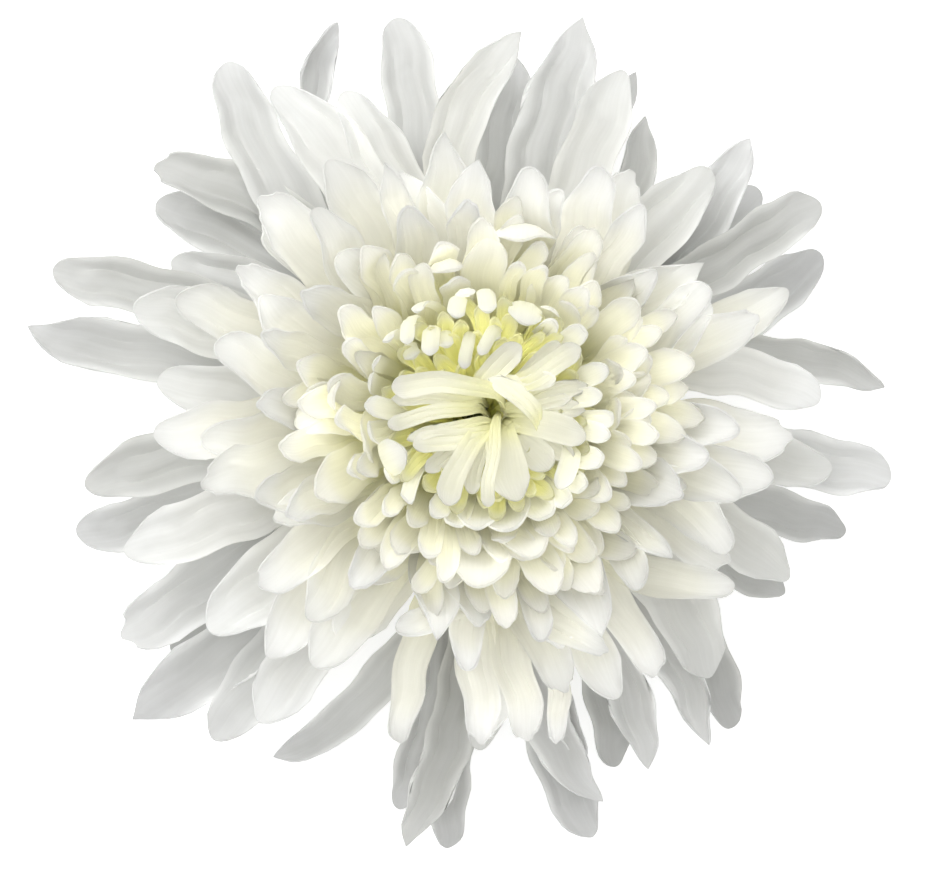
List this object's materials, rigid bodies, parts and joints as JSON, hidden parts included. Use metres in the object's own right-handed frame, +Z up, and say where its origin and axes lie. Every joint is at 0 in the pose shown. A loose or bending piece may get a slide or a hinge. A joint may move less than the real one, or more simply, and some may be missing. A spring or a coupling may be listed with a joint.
{
  "type": "chrysanthemum flower head",
  "caption": "Double white chrysanthemum flower head, cut just under the bloom and laid face up on its lowest petals.",
  "frame": {"origin": "middle of the stem stub's flat cut face, on the surface that the head lies on", "axes": "+Z up through the eye of the bloom, +Y towards the top of the bloom as it is pictured"},
  "size_m": [0.1116, 0.1092, 0.0441],
  "materials": {
    "white_petal": "soft satin petal, faintly grooved",
    "cream_petal": "soft satin petal, yellow-green at its base",
    "green_bract": "matte green with pale dry edges",
    "green_stem": "matte green, ribbed, paler where cut"
  },
  "bodies": {
    "root": {"ray_florets": "white_petal", "centre_florets": "cream_petal", "involucre": "green_bract", "stem": "green_stem"}
  },
  "joints": []
}
